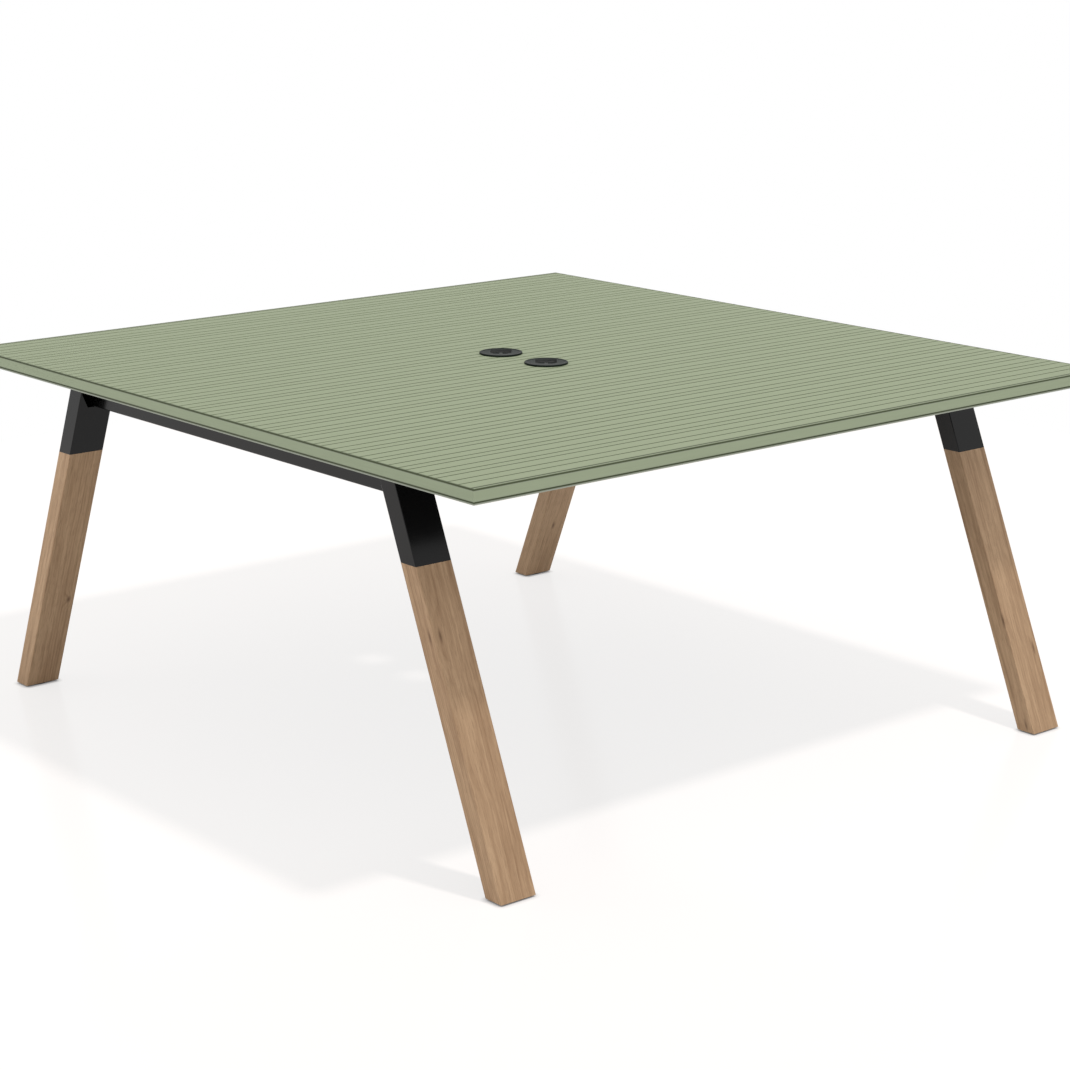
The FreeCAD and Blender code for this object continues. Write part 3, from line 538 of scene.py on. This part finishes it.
def scuffed_abs(plastic):
    """The same ABS, painted paler grey in patches inside the sleeve: painted light that stands in for the
    light caught in the port's hollow.
    """
    material = moulded_abs(plastic, "scuffed_abs")
    tree = material.node_tree
    surface = tree.nodes["Principled BSDF"]
    plain_tone = surface.inputs["Base Color"].links[0].from_socket
    place = tree.nodes["Texture Coordinate"].outputs["Object"]
    mirrored = add_node(tree, "ShaderNodeVectorMath", {0: place}, operation="ABSOLUTE")
    apart = add_node(tree, "ShaderNodeVectorMath", {
        0: mirrored.outputs[0], 1: middle("grommet_liner_back")}, operation="SUBTRACT")
    flat = add_node(tree, "ShaderNodeVectorMath", {0: apart.outputs[0], 1: (1, 1, 0)}, operation="MULTIPLY")
    away = add_node(tree, "ShaderNodeVectorMath", {0: flat.outputs[0]}, operation="LENGTH")
    inside = add_node(tree, "ShaderNodeMath", {
        0: away.outputs["Value"], 1: plastic.sleeve_radius}, operation="LESS_THAN")
    # Painted light: a paler tone inside the sleeve, broken up in patches.
    light_patches = add_node(tree, "ShaderNodeTexNoise", {"Vector": place, "Scale": 1 / (6 * MM), "Detail": 3})
    patchy_light = add_node(tree, "ShaderNodeMapRange", {
        "Value": light_patches.outputs["Fac"], "From Min": 0.3, "From Max": 0.7, "To Min": 0.7})
    share = add_node(tree, "ShaderNodeMath", {
        0: inside.outputs[0], 1: patchy_light.outputs["Result"]}, operation="MULTIPLY")
    paint = add_node(tree, "ShaderNodeMix", {
        0: share.outputs[0], 6: plain_tone, 7: plastic.painted_light_tone}, data_type="RGBA")
    tree.links.new(paint.outputs[2], surface.inputs["Base Color"])
    return material


def moulded_nylon(plastic):
    """Black nylon, injection moulded: duller than ABS, with a waxy sheen."""
    return fine_grained(
        "moulded_nylon", plastic.glide_dark, plastic.glide_light, grain=1 * MM,
        shader={"IOR": 1.53}, roughness=(0.5, 0.62), relief=0.1)


def zinc_plate(steel):
    """Steel, bright zinc plated: cool grey metal with cloudy gloss."""
    return fine_grained(
        "zinc_plate", steel.zinc_dark, steel.zinc_light, grain=0.5 * MM,
        shader={"Metallic": 1}, roughness=(0.26, 0.42), relief=0.05)


def dress(material, *names):
    """Give CAD nodes a finish."""
    for name in names:
        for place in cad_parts[name].material_slots:
            place.material = material


# Pieces


def add_piece(name, mesh, material, slot, body, *replaced):
    """Turn a finished bmesh into a piece that rides on a body and stands for CAD nodes."""
    bmesh.ops.recalc_face_normals(mesh, faces=mesh.faces)
    data = bpy.data.meshes.new(name)
    mesh.to_mesh(data)
    mesh.free()
    data.shade_smooth()
    data.set_sharp_from_angle(angle=CRISP_ANGLE)
    data.materials.append(material)
    piece = bpy.data.objects.new(name, data)
    bpy.context.scene.collection.objects.link(piece)
    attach(piece, body)
    if replaced:
        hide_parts(*replaced)


def shape_ring(verts, radius, height, sided):
    """Put a loop of vertices on a ring about Z, round or six-sided with that half width."""
    sector = math.pi / 3
    for vert in verts:
        heading = math.atan2(vert.co.y, vert.co.x)
        reach = radius / math.cos(heading % sector - sector / 2) if sided else radius
        vert.co = Vector((reach * math.cos(heading), reach * math.sin(heading), height))


def draw_out(mesh, face):
    """Extrude a face with its edges, so that none is left inside, and give the new face and its vertices."""
    grown = bmesh.ops.extrude_face_region(mesh, geom=[face, *face.edges])["geom"]
    verts = [item for item in grown if isinstance(item, bmesh.types.BMVert)]
    return next(item for item in grown if isinstance(item, bmesh.types.BMFace)), verts


def stack_rings(mesh, rings, corners):
    """A closed solid raised ring by ring about Z. A ring is a radius, a height and if it has six sides."""
    made = bmesh.ops.create_circle(mesh, cap_ends=True, segments=corners, radius=1)["verts"]
    shape_ring(made, *rings[0])
    face = made[0].link_faces[0]
    for ring in rings[1:]:
        face, loop = draw_out(mesh, face)
        shape_ring(loop, *ring)
        made += loop
    return made


def key_screw(mesh, place, radius, pitch, length, head_radius, head_height, key, corners):
    """A screw with a hexagon socket. Its head stands on the place's origin and its thread points down."""
    edge = HEAD_BEVEL * head_radius
    root = radius - THREAD_DEPTH * pitch
    rings = [(root, -length, False)]
    turns = int((length - pitch) / pitch)
    for turn in range(turns):
        start = -length + turn * pitch
        rings += [(radius, start + pitch / 2, False), (root, start + pitch, False)]
    rings += [
        (radius, 0, False),
        (head_radius, 0, False),
        (head_radius, head_height - edge, False),
        (head_radius - edge, head_height, False),
        (key / 2, head_height, True),
        (key / 2, SOCKET_FLOOR * head_height, True),
    ]
    verts = stack_rings(mesh, rings, corners)
    bmesh.ops.transform(mesh, matrix=place, verts=verts)


def threaded_rod(mesh, place, radius, pitch, length, corners):
    """A rod along Z with a real helical thread, cut square at both ends."""
    root = radius - THREAD_DEPTH * pitch
    profile = [mesh.verts.new((reach, 0, height - pitch)) for reach, height in (
        (root, 0), (radius, pitch / 2), (root, pitch))]
    edges = [mesh.edges.new(profile[:2]), mesh.edges.new(profile[1:])]
    turns = math.ceil(length / pitch) + 1
    bmesh.ops.spin(
        mesh, geom=profile + edges, cent=(0, 0, 0), axis=(0, 0, 1), dvec=(0, 0, pitch / corners),
        angle=2 * math.pi * turns, steps=corners * turns, use_merge=False)
    bmesh.ops.remove_doubles(mesh, verts=mesh.verts, dist=0.01 * MM)
    for height, normal in ((0, -1), (length, 1)):
        geom = mesh.verts[:] + mesh.edges[:] + mesh.faces[:]
        cut = bmesh.ops.bisect_plane(
            mesh, geom=geom, dist=0.001 * MM, plane_co=(0, 0, height), plane_no=(0, 0, normal),
            clear_outer=True)
        rim = [item for item in cut["geom_cut"] if isinstance(item, bmesh.types.BMEdge)]
        bmesh.ops.edgeloop_fill(mesh, edges=rim)
    bmesh.ops.transform(mesh, matrix=place, verts=mesh.verts)


def weld_bead(mesh, steel, start, end, wall_a, wall_b):
    """A rippled bead in the corner of two plates. The walls point along the plates, away from the corner."""
    leg = steel.bead_leg
    start = Vector(start)
    run = Vector(end) - start
    wall_a = Vector(wall_a)
    wall_b = Vector(wall_b)
    corners = (Vector(), leg * wall_a, BEAD_BULGE * leg * (wall_a + wall_b), leg * wall_b)
    face = mesh.faces.new([mesh.verts.new(start + corner) for corner in corners])
    steps = 2 * max(1, round(run.length / steel.bead_pitch))
    for step in range(steps):
        face, verts = draw_out(mesh, face)
        bmesh.ops.translate(mesh, vec=run / steps, verts=verts)
        ripple = 1 / BEAD_RIPPLE if step % 2 else BEAD_RIPPLE
        corner = start + run * (step + 1) / steps
        bmesh.ops.scale(mesh, vec=(ripple, ripple, ripple), space=Matrix.Translation(-corner), verts=verts)


def middle(name):
    low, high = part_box(name)
    return (low + high) / 2


# Operators


class DOUBLEDESK_OT_desktop_face(bpy.types.Operator):
    """Finish the grooved sheet of the top"""
    bl_idname = "double_desk.desktop_face"
    bl_label = "Desktop Face"

    def execute(self, context):
        dress(striped_laminate(context.scene.double_desk.decor), "desktop_face")
        return {"FINISHED"}


class DOUBLEDESK_OT_edge_bands(bpy.types.Operator):
    """Finish the four edge bands"""
    bl_idname = "double_desk.edge_bands"
    bl_label = "Edge Bands"

    def execute(self, context):
        bands = [f"edge_band_{edge}" for edge in ("front", "back", "left", "right")]
        dress(edge_laminate(context.scene.double_desk.decor), *bands)
        return {"FINISHED"}


class DOUBLEDESK_OT_core_board(bpy.types.Operator):
    """Finish the board under the sheet"""
    bl_idname = "double_desk.core_board"
    bl_label = "Core Board"

    def execute(self, context):
        dress(backed_board(context.scene.double_desk.decor), "desktop_core")
        return {"FINISHED"}


class DOUBLEDESK_OT_cable_ports(bpy.types.Operator):
    """Finish the liners and caps of the two cable ports"""
    bl_idname = "double_desk.cable_ports"
    bl_label = "Cable Ports"

    def execute(self, context):
        plastic = context.scene.double_desk.plastic
        # The liners carry painted light: a paler grey inside the sleeve.
        dress(scuffed_abs(plastic), *(f"grommet_liner_{depth}" for depth in DEPTHS))
        dress(moulded_abs(plastic), *(f"grommet_cap_{depth}" for depth in DEPTHS))
        return {"FINISHED"}


class DOUBLEDESK_OT_oak_legs(bpy.types.Operator):
    """Finish the four legs, each cut from its own board"""
    bl_idname = "double_desk.oak_legs"
    bl_label = "Oak Legs"

    def execute(self, context):
        for corner in CORNERS:
            dress(oiled_oak(context.scene.double_desk.oak, corner), f"leg_{corner}")
        return {"FINISHED"}


class DOUBLEDESK_OT_steel_frame(bpy.types.Operator):
    """Coat the sockets, rails, beams, plates and lugs, and lay the weld beads that join them"""
    bl_idname = "double_desk.steel_frame"
    bl_label = "Steel Frame"

    def execute(self, context):
        settings = context.scene.double_desk
        steel = settings.steel
        coat = powder_coat(steel)
        for part in ("leg_socket", "socket_seat", "beam_end_plate"):
            dress(coat, *(f"{part}_{corner}" for corner in CORNERS))
        dress(coat, *(f"end_rail_{side}" for side in SIDES))
        dress(coat, *(f"cross_beam_{depth}" for depth in DEPTHS))
        dress(coat, *RAIL_LUGS, *BEAM_LUGS)

        mesh = bmesh.new()
        for corner in CORNERS:
            self.join_beam(mesh, steel, corner)
            self.join_socket(mesh, steel, corner, settings.oak.splay)
        for side_name, side in SIDES.items():
            for row in LUG_ROWS:
                low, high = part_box(f"rail_lug_{row}_{side_name}")
                x = high.x if side > 0 else low.x
                weld_bead(mesh, steel, (x, low.y, low.z), (x, high.y, low.z), (-side, 0, 0), (0, 0, -1))
        for depth_name, depth in DEPTHS.items():
            low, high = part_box(f"beam_lug_{depth_name}")
            y = high.y if depth > 0 else low.y
            weld_bead(mesh, steel, (low.x, y, low.z), (high.x, y, low.z), (0, -depth, 0), (0, 0, -1))
        add_piece("weld_beads", mesh, coat, "black_steel", FRAME_BODY)
        return {"FINISHED"}

    def join_beam(self, mesh, steel, corner):
        """Two upright beads where a beam meets its end plate."""
        depth_name, side_name = corner.split("_")
        side = SIDES[side_name]
        plate_low, plate_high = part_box(f"beam_end_plate_{corner}")
        beam_low, beam_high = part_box(f"cross_beam_{depth_name}")
        x = plate_low.x if side > 0 else plate_high.x
        top = plate_high.z - steel.bead_leg
        for y, way in ((beam_low.y, -1), (beam_high.y, 1)):
            weld_bead(mesh, steel, (x, y, plate_low.z), (x, y, top), (-side, 0, 0), (0, way, 0))

    def join_socket(self, mesh, steel, corner, splay):
        """One bead under the rail where it enters its socket."""
        depth_name, side_name = corner.split("_")
        depth = DEPTHS[depth_name]
        rail_low, rail_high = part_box(f"end_rail_{side_name}")
        socket_low, socket_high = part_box(f"leg_socket_{corner}")
        rise = socket_high.z - rail_low.z
        inner = (socket_low.y if depth > 0 else socket_high.y) + depth * rise * math.tan(splay)
        inset = steel.bead_leg
        start = (rail_low.x + inset, inner, rail_low.z)
        end = (rail_high.x - inset, inner, rail_low.z)
        down = (0, depth * math.sin(splay), -math.cos(splay))
        weld_bead(mesh, steel, start, end, (0, -depth, 0), down)


class DOUBLEDESK_OT_bolts(bpy.types.Operator):
    """Model the bolts of the legs and beams and the screws of the lugs, with their hexagon sockets"""
    bl_idname = "double_desk.bolts"
    bl_label = "Bolts and Screws"

    def execute(self, context):
        settings = context.scene.double_desk
        sizes = settings.fastener
        zinc = zinc_plate(settings.steel)
        dress(zinc, "leg_inserts", "top_inserts", "foot_inserts", "beam_nuts")

        mesh = bmesh.new()
        for corner in CORNERS:
            seat_low, seat_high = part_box(f"socket_seat_{corner}")
            lean = Matrix.Rotation(DEPTHS[corner.split("_")[0]] * settings.oak.splay, 4, "X")
            thickness = self.seat_thickness(seat_high - seat_low, settings.oak.splay)
            for way in (-1, 1):
                lift = lean @ Vector((way * sizes.leg_bolt_spacing / 2, 0, thickness / 2))
                place = Matrix.Translation(middle(f"socket_seat_{corner}") + lift) @ lean
                self.add_bolt(mesh, place, sizes, sizes.leg_bolt_length)
        add_piece("leg_cap_screws", mesh, zinc, "zinc_steel", FRAME_BODY, "leg_bolts")

        mesh = bmesh.new()
        for corner in CORNERS:
            side = SIDES[corner.split("_")[1]]
            low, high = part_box(f"beam_end_plate_{corner}")
            x = low.x if side > 0 else high.x
            inwards = Matrix.Rotation(-side * math.pi / 2, 4, "Y")
            for way in (-1, 1):
                y = (low.y + high.y + way * sizes.beam_bolt_spacing) / 2
                place = Matrix.Translation((x, y, (low.z + high.z) / 2)) @ inwards
                self.add_bolt(mesh, place, sizes, sizes.beam_bolt_length)
        add_piece("beam_cap_screws", mesh, zinc, "zinc_steel", FRAME_BODY, "beam_bolts")

        mesh = bmesh.new()
        downwards = Matrix.Rotation(math.pi, 4, "X")
        for lug in RAIL_LUGS + BEAM_LUGS:
            seat = middle(lug)
            seat.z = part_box(lug)[0].z
            key_screw(
                mesh, Matrix.Translation(seat) @ downwards, sizes.screw_diameter / 2, sizes.screw_pitch,
                sizes.screw_length, sizes.screw_head / 2, sizes.screw_head_height, sizes.screw_key,
                sizes.corners)
        add_piece("lug_button_screws", mesh, zinc, "zinc_steel", FRAME_BODY, "lug_screws")
        return {"FINISHED"}

    def add_bolt(self, mesh, place, sizes, length):
        key_screw(
            mesh, place, sizes.bolt_diameter / 2, sizes.bolt_pitch, length, sizes.bolt_head / 2,
            sizes.bolt_head_height, sizes.bolt_key, sizes.corners)

    def seat_thickness(self, box, splay):
        """The thickness of a leaning plate, from the size of its box."""
        return (box.z * math.cos(splay) - box.y * math.sin(splay)) / math.cos(2 * splay)


class DOUBLEDESK_OT_levellers(bpy.types.Operator):
    """Finish the glides and model their threaded studs"""
    bl_idname = "double_desk.levellers"
    bl_label = "Levelling Glides"

    def execute(self, context):
        settings = context.scene.double_desk
        sizes = settings.fastener
        zinc = zinc_plate(settings.steel)
        nylon = moulded_nylon(settings.plastic)
        for corner in CORNERS:
            dress(nylon, f"leveller_pad_{corner}")
            low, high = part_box(f"leveller_stud_{corner}")
            place = Matrix.Translation(((low.x + high.x) / 2, (low.y + high.y) / 2, low.z))
            mesh = bmesh.new()
            threaded_rod(
                mesh, place, sizes.bolt_diameter / 2, sizes.bolt_pitch, high.z - low.z, sizes.corners // 2)
            add_piece(
                f"threaded_stud_{corner}", mesh, zinc, "zinc_steel", f"leveller_{corner}",
                f"leveller_stud_{corner}")
        return {"FINISHED"}


class DOUBLEDESK_OT_stage(bpy.types.Operator):
    """Lay the floor, hang the lights and set the camera"""
    bl_idname = "double_desk.stage"
    bl_label = "Studio Stage"

    def execute(self, context):
        stage = context.scene.double_desk.stage
        scene = context.scene
        scene.view_settings.view_transform = "Standard"
        floor = self.lay_floor(scene, stage)
        self.light_dome(scene, stage)
        self.hang_lamp(scene, "fill", stage.fill_place, stage.fill_size, stage.fill_power)
        key = self.hang_lamp(scene, "key", stage.key_place, stage.key_size, stage.key_power)
        shadow = self.hang_lamp(scene, "shadow", stage.key_place, stage.key_size, stage.shadow_power)
        self.even_out(key)
        self.even_out(shadow)
        lit = bpy.data.collections.new("lit_by_shadow_lamp")
        lit.objects.link(floor)
        shadow.light_linking.receiver_collection = lit

        lens = bpy.data.cameras.new("camera")
        lens.lens = stage.camera_lens
        camera = bpy.data.objects.new("camera", lens)
        camera.location = stage.camera_place
        camera.rotation_euler = (math.pi / 2 - stage.camera_dip, 0, stage.camera_heading - math.pi / 2)
        scene.collection.objects.link(camera)
        scene.camera = camera
        return {"FINISHED"}

    def hang_lamp(self, scene, name, place, size, power):
        """A round lamp that points at the foot of the desk."""
        lamp = bpy.data.lights.new(name, "AREA")
        lamp.shape = "DISK"
        lamp.size = size
        lamp.energy = power
        holder = bpy.data.objects.new(name, lamp)
        holder.location = place
        holder.rotation_euler = Vector(place).to_track_quat("Z", "Y").to_euler()
        scene.collection.objects.link(holder)
        return holder

    def even_out(self, holder):
        """Keep a lamp's light at the level that it has at the foot of the desk, near and far."""
        holder.data.use_nodes = True
        tree = holder.data.node_tree
        tree.nodes.clear()
        even = add_node(tree, "ShaderNodeLightFalloff", {"Strength": 1 / holder.location.length_squared})
        light = add_node(tree, "ShaderNodeEmission", {"Strength": even.outputs["Constant"]})
        add_node(tree, "ShaderNodeOutputLight", {"Surface": light.outputs[0]})

    def seen_rays(self, tree, high):
        """A value for rays that show the stage by itself, in gloss or through glass, and 0 for the rest."""
        rays = add_node(tree, "ShaderNodeLightPath")
        direct = add_node(tree, "ShaderNodeMath", {
            0: rays.outputs["Is Camera Ray"], 1: rays.outputs["Is Glossy Ray"]}, operation="MAXIMUM")
        seen = add_node(tree, "ShaderNodeMath", {
            0: direct.outputs[0], 1: rays.outputs["Is Transmission Ray"]}, operation="MAXIMUM")
        scaled = add_node(tree, "ShaderNodeMath", {0: seen.outputs[0], 1: high}, operation="MULTIPLY")
        return scaled.outputs[0]

    def lay_floor(self, scene, stage):
        """A floor that looks almost white and keeps the desk's shadow. From below it can be seen through."""
        material, tree, place = new_material("studio_floor")
        speck = add_node(tree, "ShaderNodeTexNoise", {"Vector": place, "Scale": 1 / (3 * MM)})
        bump = add_node(tree, "ShaderNodeBump", {
            "Height": speck.outputs["Fac"], "Strength": 0.02, "Distance": FINE_RELIEF})
        paint = add_node(tree, "ShaderNodeBsdfDiffuse", {"Color": stage.floor, "Normal": bump.outputs[0]})
        open_air = add_node(tree, "ShaderNodeAmbientOcclusion", {"Distance": stage.contact}, samples=8)
        level = add_node(tree, "ShaderNodeMath", {
            0: open_air.outputs["AO"], 1: stage.floor_glow}, operation="MULTIPLY")
        glow = add_node(tree, "ShaderNodeEmission", {"Color": (1, 1, 1), "Strength": level.outputs[0]})
        shade = [stage.floor_shade * part for part in stage.floor_seen]
        dim = add_node(tree, "ShaderNodeBsdfDiffuse", {"Color": shade})
        lit = add_node(tree, "ShaderNodeAddShader", {0: glow.outputs[0], 1: dim.outputs[0]})
        shine = add_node(tree, "ShaderNodeBsdfGlossy", {
            "Color": [stage.floor_gloss] * 3, "Roughness": 0.18, "Normal": bump.outputs[0]})
        bright = add_node(tree, "ShaderNodeAddShader", {0: lit.outputs[0], 1: shine.outputs[0]})
        seen = add_node(tree, "ShaderNodeMixShader", {
            0: self.seen_rays(tree, 1), 1: paint.outputs[0], 2: bright.outputs[0]})
        clear = add_node(tree, "ShaderNodeBsdfTransparent")
        facing = add_node(tree, "ShaderNodeNewGeometry")
        sides = add_node(tree, "ShaderNodeMixShader", {
            0: facing.outputs["Backfacing"], 1: seen.outputs[0], 2: clear.outputs[0]})
        add_node(tree, "ShaderNodeOutputMaterial", {"Surface": sides.outputs[0]})
        mesh = bmesh.new()
        bmesh.ops.create_grid(mesh, x_segments=1, y_segments=1, size=stage.floor_reach)
        data = bpy.data.meshes.new("floor")
        mesh.to_mesh(data)
        mesh.free()
        data.materials.append(material)
        floor = bpy.data.objects.new("floor", data)
        floor.location.z = CAD_BOX[0].z
        scene.collection.objects.link(floor)
        return floor

    def light_dome(self, scene, stage):
        """Even light from all around, white where it is seen."""
        world = bpy.data.worlds.new("studio_dome")
        world.use_nodes = True
        tree = world.node_tree
        tree.nodes.clear()
        lift = add_node(tree, "ShaderNodeMath", {
            0: self.seen_rays(tree, 1 - stage.dome), 1: stage.dome}, operation="ADD")
        sky = add_node(tree, "ShaderNodeBackground", {"Color": (1, 1, 1), "Strength": lift.outputs[0]})
        add_node(tree, "ShaderNodeOutputWorld", {"Surface": sky.outputs[0]})
        scene.world = world


class DOUBLEDESK_PT_build(bpy.types.Panel):
    """Lists the desk's pieces and their settings"""
    bl_label = "Double Desk"
    bl_space_type = "VIEW_3D"
    bl_region_type = "UI"
    bl_category = "Double Desk"

    def draw(self, context):
        for operator in OPERATORS:
            self.layout.operator(operator.bl_idname)
        settings = context.scene.double_desk
        for group in SETTINGS[:-1]:
            box = self.layout.box()
            box.label(text=group.__doc__)
            owner = getattr(settings, group.__name__.removesuffix("Settings").lower())
            for field in group.__annotations__:
                box.prop(owner, field)


SETTINGS = (
    DecorSettings, OakSettings, SteelSettings, PlasticSettings, FastenerSettings, StageSettings, DeskSettings)
OPERATORS = (
    DOUBLEDESK_OT_desktop_face,
    DOUBLEDESK_OT_edge_bands,
    DOUBLEDESK_OT_core_board,
    DOUBLEDESK_OT_cable_ports,
    DOUBLEDESK_OT_oak_legs,
    DOUBLEDESK_OT_steel_frame,
    DOUBLEDESK_OT_bolts,
    DOUBLEDESK_OT_levellers,
    DOUBLEDESK_OT_stage,
)
CLASSES = SETTINGS + OPERATORS + (DOUBLEDESK_PT_build,)


def register():
    for item in CLASSES:
        bpy.utils.register_class(item)
    bpy.types.Scene.double_desk = PointerProperty(type=DeskSettings)


def unregister():
    del bpy.types.Scene.double_desk
    for item in reversed(CLASSES):
        bpy.utils.unregister_class(item)


def main():
    register()
    for operator in OPERATORS:
        family, name = operator.bl_idname.split(".")
        getattr(getattr(bpy.ops, family), name)()


if __name__ == "__main__":
    main()
